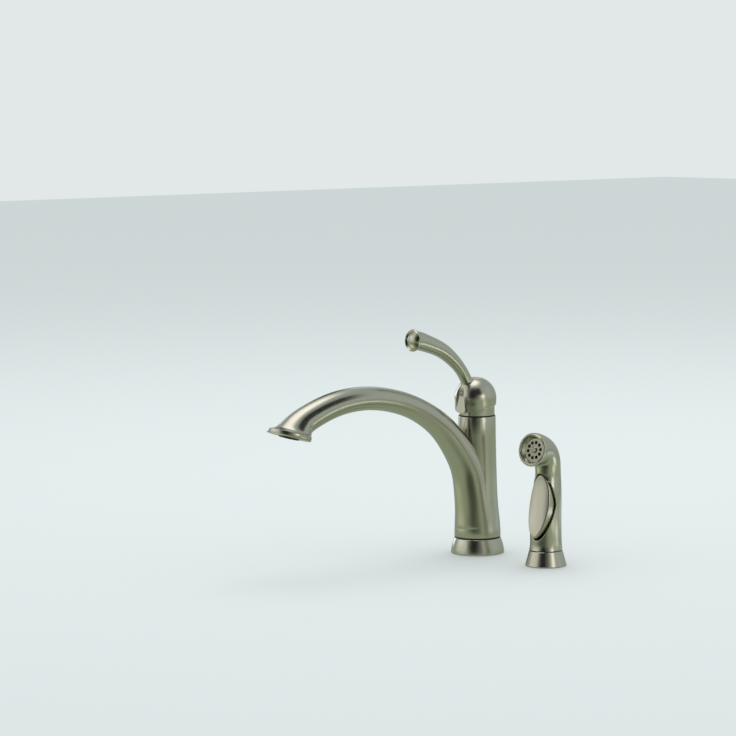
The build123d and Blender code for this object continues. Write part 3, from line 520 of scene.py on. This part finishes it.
# the deck as the metal mirrors it: olive grey, with pale and dark patches, each (x, y, half lengths in
# metres, colour, brightness, softness)
deckSetup = {
    "size": 5.6,
    "height": 0.0004,
    "base": ("#eaffdd", 0.41),
    "spots": {
        "greyBack": (-0.3, 0.5, 0.7, 0.7, "#eafffb", 0.44, 0.6),
        "frontShade": (0.24, -0.54, 0.46, 0.44, "#ebffc9", 0.05, 0.6),
        "leftPale": (-0.26, -0.29, 0.24, 0.24, "#f4ffd4", 0.9, 0.7),
        "sprayShade": (0.19, -0.18, 0.18, 0.15, "#ebffc9", 0.05, 0.6),
        "leftGlow": (-0.75, 0.15, 0.5, 0.2, "#e6edff", 1.3, 0.7),
        "rightGlow": (0.3, 0.17, 0.13, 0.1, "#f6fbff", 1.6, 0.7),
        "rightFar": (0.54, 0.09, 0.22, 0.12, "#fffff2", 1.5, 0.6),
        "backGlow": (0.12, 0.4, 0.18, 0.2, "#f0fbff", 0.8, 0.7),
    },
}


def mirrorOnly(thing, name):
    thing.name = name
    thing.visible_camera = False
    thing.visible_diffuse = False
    thing.visible_shadow = False


def brightColour(colour, strength):
    return [c * strength for c in toLinear(colour)[:3]] + [1.0]


def aroundTent(azimuth, elevation, halfWidth, halfHeight):
    turn, lift = math.radians(azimuth), math.radians(elevation)
    direction = Vector((math.cos(turn) * math.cos(lift), math.sin(turn) * math.cos(lift), math.sin(lift)))
    size = (math.sin(math.radians(halfWidth)), math.sin(math.radians(halfHeight)), 1)
    return direction, direction.to_track_quat("Z", "Y").to_euler(), size


def onDeck(x, y, halfX, halfY):
    return (x, y, 0), (0, 0, 0), (halfX, halfY, 1)


# one glowing material: a base colour with soft oval spots laid over it in order
def glowingMaterial(name, setup, layout, scale=1.0):
    material, tree, output = newMaterial(name)
    coordinates = addNode(tree, "ShaderNodeTexCoord", (-1100, 0))
    place = addNode(tree, "ShaderNodeVectorMath", (-900, 0), {1: [scale] * 3},
                    {0: coordinates.outputs["Object"]}, operation="MULTIPLY")
    colour = None
    for row, values in enumerate(setup["spots"].values()):
        height = -240 * row
        centre, turn, size = layout(*values[:4])
        hexColour, strength, softness = values[4:]
        spot = addNode(tree, "ShaderNodeMapping", (-700, height), {"Location": centre, "Rotation": turn,
                       "Scale": size}, {"Vector": place.outputs[0]}, vector_type="TEXTURE")
        fade = addNode(tree, "ShaderNodeTexGradient", (-500, height), links={"Vector": spot.outputs[0]},
                       gradient_type="SPHERICAL")
        edge = addNode(tree, "ShaderNodeMapRange", (-300, height), {"From Max": softness},
                       {"Value": fade.outputs["Fac"]}, interpolation_type="SMOOTHSTEP")
        mix = addNode(tree, "ShaderNodeMix", (0, height), links={"Factor": edge.outputs[0]},
                      data_type="RGBA")
        mix.inputs["A"].default_value = brightColour(*setup["base"])
        mix.inputs["B"].default_value = brightColour(hexColour, strength)
        if colour:
            tree.links.new(colour, mix.inputs["A"])
        colour = mix.outputs["Result"]
    glow = addNode(tree, "ShaderNodeEmission", (300, 0), links={"Color": colour})
    tree.links.new(glow.outputs[0], output.inputs["Surface"])
    return material


def mirrorTent(setup):
    bpy.ops.object.select_all(action="DESELECT")
    bpy.ops.mesh.primitive_uv_sphere_add(radius=setup["radius"], location=setup["aim"],
                                         segments=setup["segments"], ring_count=setup["rings"])
    tent = bpy.context.active_object
    tent.data.materials.append(glowingMaterial("mirrorTent", setup, aroundTent, 1 / setup["radius"]))
    mirrorOnly(tent, "mirrorTent")


def deckCard(setup):
    bpy.ops.object.select_all(action="DESELECT")
    bpy.ops.mesh.primitive_plane_add(size=setup["size"], location=(0, 0, setup["height"]))
    card = bpy.context.active_object
    card.data.materials.append(glowingMaterial("deckCard", setup, onDeck))
    mirrorOnly(card, "deckCard")


# a long dark flag above and to the right of the arm, which draws the black band along the arm's top
flagSetup = {
    "middle": (0.17, -0.14, 0.29),
    "tilt": 54,
    "width": 0.15,
    "length": 0.26,
    "colour": "#efffed",
    "strength": 0.02,
}


def darkFlag(setup):
    material, tree, output = newMaterial("darkFlag")
    glow = addNode(tree, "ShaderNodeEmission", (300, 0),
                   {"Color": brightColour(setup["colour"], setup["strength"])})
    tree.links.new(glow.outputs[0], output.inputs["Surface"])
    bpy.ops.object.select_all(action="DESELECT")
    bpy.ops.mesh.primitive_plane_add(size=1, location=setup["middle"],
                                     rotation=(0, math.radians(setup["tilt"]), 0))
    flag = bpy.context.active_object
    flag.scale = (setup["width"], setup["length"], 1)
    flag.data.materials.append(material)
    mirrorOnly(flag, "darkFlag")


mirrorTent(tentSetup)
deckCard(deckSetup)
darkFlag(flagSetup)

lampSetup = {
    "key": {"place": (-0.5, 0.5, 2.4), "size": 1.8, "power": 14, "colour": "#ffffff"},
}


def addLamp(name, setup):
    data = bpy.data.lights.new(name, "AREA")
    data.size = setup["size"]
    data.energy = setup["power"]
    data.color = toLinear(setup["colour"])[:3]
    lamp = bpy.data.objects.new(name, data)
    bpy.context.scene.collection.objects.link(lamp)
    lamp.location = setup["place"]
    away = Vector(setup["place"]) - Vector(tentSetup["aim"])
    lamp.rotation_euler = away.to_track_quat("Z", "Y").to_euler()
    lamp.visible_glossy = False


for name, setup in lampSetup.items():
    addLamp(name, setup)
print("studio lit")
